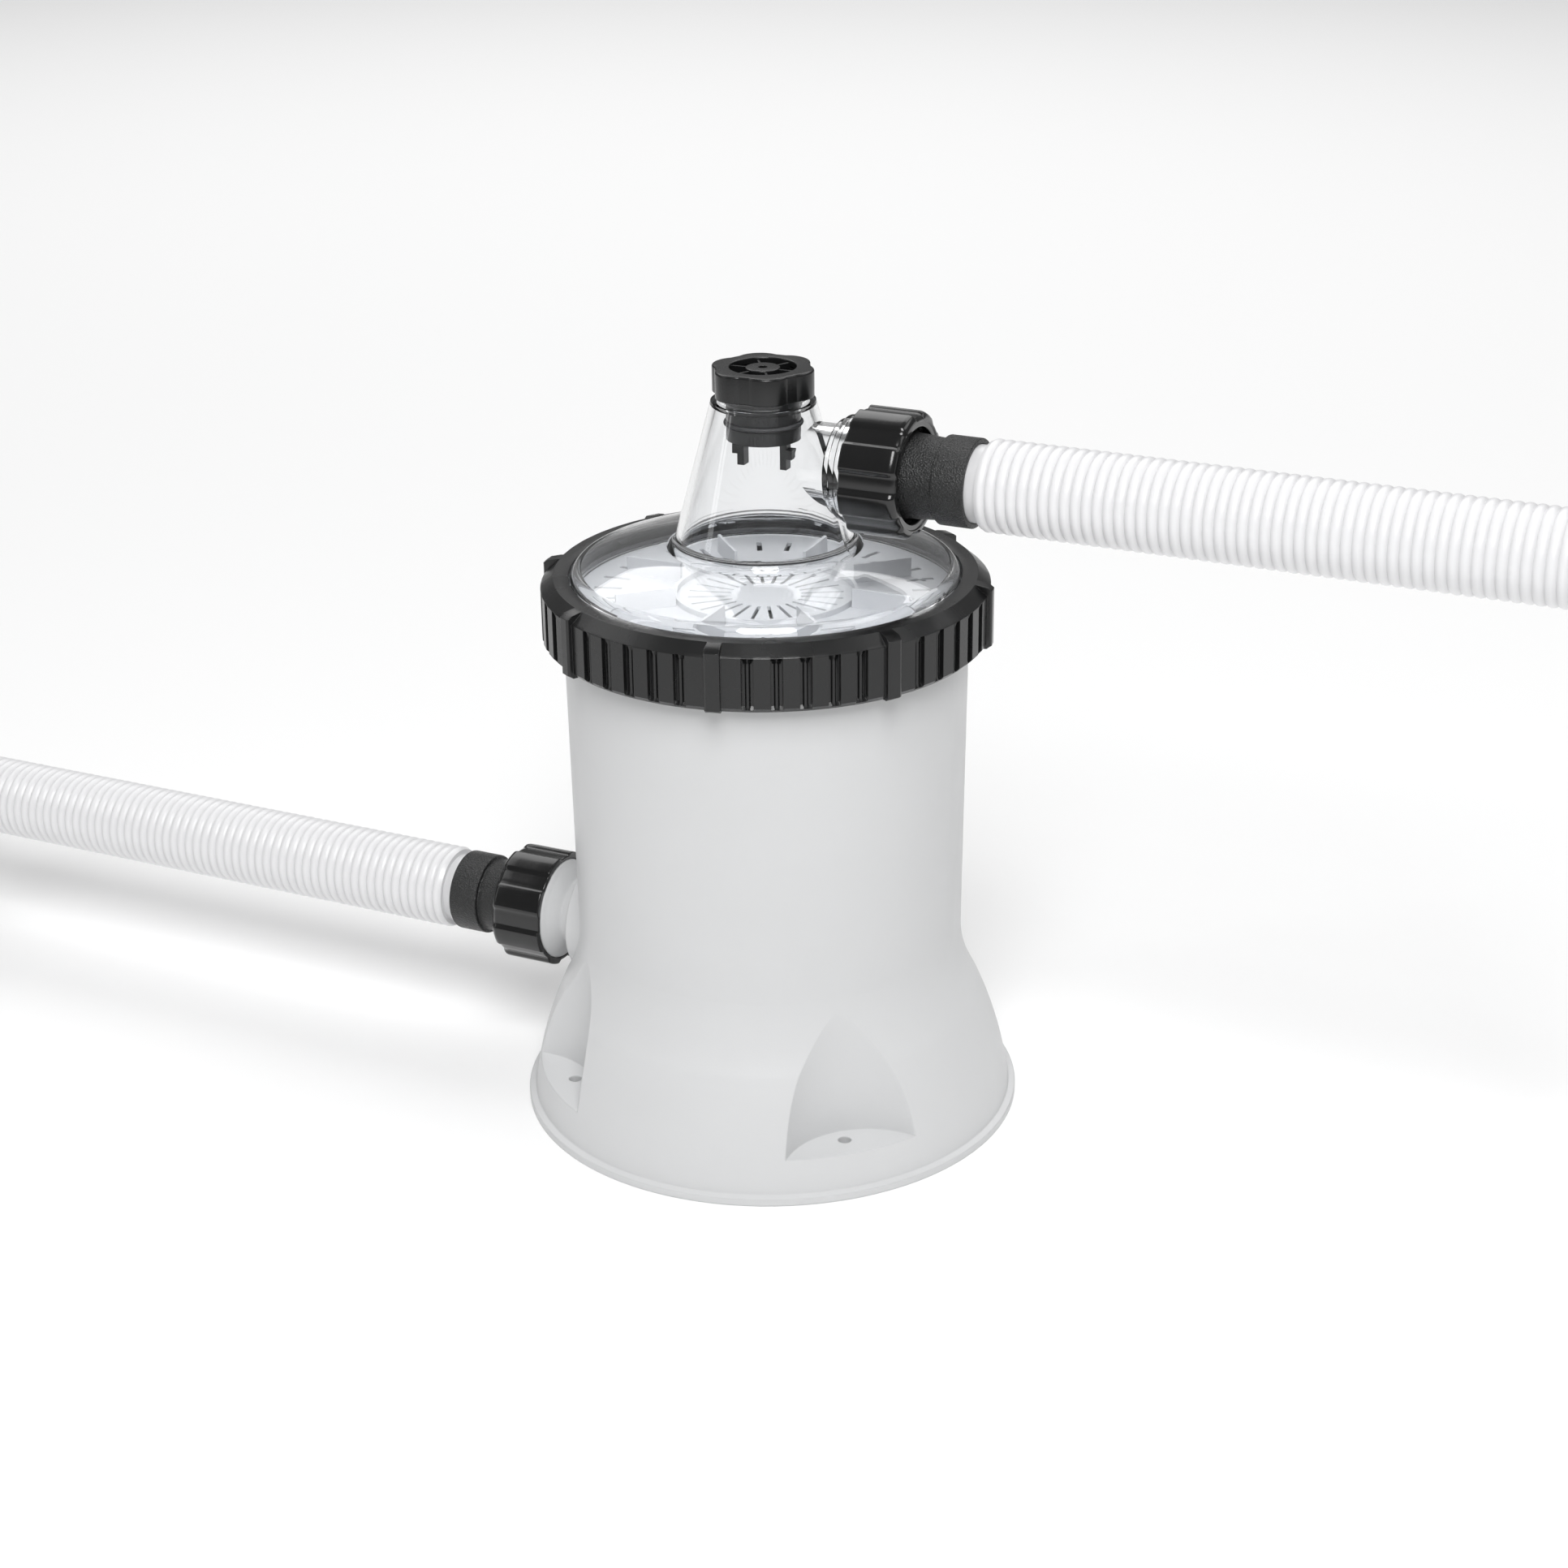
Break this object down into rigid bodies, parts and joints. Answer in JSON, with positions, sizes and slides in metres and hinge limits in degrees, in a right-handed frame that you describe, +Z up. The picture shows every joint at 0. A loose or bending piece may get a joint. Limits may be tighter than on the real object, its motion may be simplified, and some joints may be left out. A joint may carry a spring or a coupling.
{
  "type": "pool filter pump",
  "caption": "Above-ground pool filter pump: flared tank on four screw-down feet, clear lid held by a lock ring, and two corrugated hoses on union nuts.",
  "frame": {"origin": "on the tank's axis, at the ground under the base rim", "axes": "+Z up along the tank's axis, +X along the upper (inlet) hose, -X along the lower (outlet) hose, +Y to the back, where the cable gland is"},
  "size_m": [0.888, 0.2335, 0.3331],
  "materials": {
    "shell_grey": "moulded, fine satin",
    "ring_black": "moulded, satin",
    "nut_black": "moulded, glossy",
    "tail_black": "spark-textured",
    "clear_lid": "clear moulded plastic",
    "hose_white": "smooth, semi-gloss",
    "inner_grey": "moulded, satin",
    "pump_black": "moulded",
    "fibre": "polyester fibre ball",
    "seal": "matt",
    "steel": "plain",
    "magnet": "ferrite",
    "copper": "enamelled wire",
    "ceramic": null
  },
  "bodies": {
    "pump": {"tank_shell": "shell_grey", "base_cover": "pump_black", "cover_screws": "steel", "cable_gland": "ring_black", "gland_nut": "ring_black", "clear_lid": "clear_lid", "lid_o_ring": "seal", "diffuser_plate": "inner_grey", "suction_strainer": "inner_grey", "filter_balls": "fibre", "volute_casing": "pump_black", "volute_gasket": "seal", "flange_screws": "steel", "motor_screws": "steel", "spout_o_ring": "seal", "motor_housing": "pump_black", "rotor_can": "steel", "stator_core": "steel", "stator_coils": "copper", "pump_shaft": "ceramic", "lower_bush": "ceramic", "upper_bush": "ceramic", "shaft_spider": "inner_grey", "inlet_hose": "hose_white", "outlet_hose": "hose_white", "inlet_union_gasket": "seal", "inlet_hose_tail": "tail_black", "inlet_hose_cuff": "hose_white", "inlet_far_union_gasket": "seal", "inlet_far_hose_tail": "tail_black", "inlet_far_hose_cuff": "hose_white", "outlet_union_gasket": "seal", "outlet_hose_tail": "tail_black", "outlet_hose_cuff": "hose_white", "outlet_far_union_gasket": "seal", "outlet_far_hose_tail": "tail_black", "outlet_far_hose_cuff": "hose_white"},
    "lock_ring": {"lock_ring": "ring_black"},
    "top_cap": {"top_cap": "ring_black", "cap_plug": "pump_black", "cap_o_ring": "seal"},
    "impeller": {"impeller": "pump_black", "rotor_magnet": "magnet"},
    "inlet_nut": {"inlet_union_nut": "nut_black"},
    "inlet_far_nut": {"inlet_far_union_nut": "nut_black"},
    "outlet_nut": {"outlet_union_nut": "nut_black"},
    "outlet_far_nut": {"outlet_far_union_nut": "nut_black"}
  },
  "joints": [
    {"name": "lock_ring_turn", "type": "hinge", "parent": "pump", "child": "lock_ring", "pos_m": [0, 0, 0.231], "axis": [0, 0, 1], "range_deg": [0, 45]},
    {"name": "top_cap_turn", "type": "hinge", "parent": "pump", "child": "top_cap", "pos_m": [0, 0, 0.3273], "axis": [0, 0, 1], "range_deg": [0, 540]},
    {"name": "impeller_spin", "type": "hinge", "parent": "pump", "child": "impeller", "pos_m": [0, 0, 0.0573], "axis": [0, 0, 1], "continuous": true},
    {"name": "inlet_nut_turn", "type": "hinge", "parent": "pump", "child": "inlet_nut", "pos_m": [0.0571, 0, 0.2945], "axis": [1, 0, 0], "range_deg": [0, 540]},
    {"name": "inlet_far_nut_turn", "type": "hinge", "parent": "pump", "child": "inlet_far_nut", "pos_m": [0.3795, 0, 0.2945], "axis": [1, 0, 0], "range_deg": [0, 540]},
    {"name": "outlet_nut_turn", "type": "hinge", "parent": "pump", "child": "outlet_nut", "pos_m": [-0.1175, 0, 0.066], "axis": [-1, 0, 0], "range_deg": [0, 540]},
    {"name": "outlet_far_nut_turn", "type": "hinge", "parent": "pump", "child": "outlet_far_nut", "pos_m": [-0.4835, 0, 0.066], "axis": [-1, 0, 0], "range_deg": [0, 540]}
  ]
}
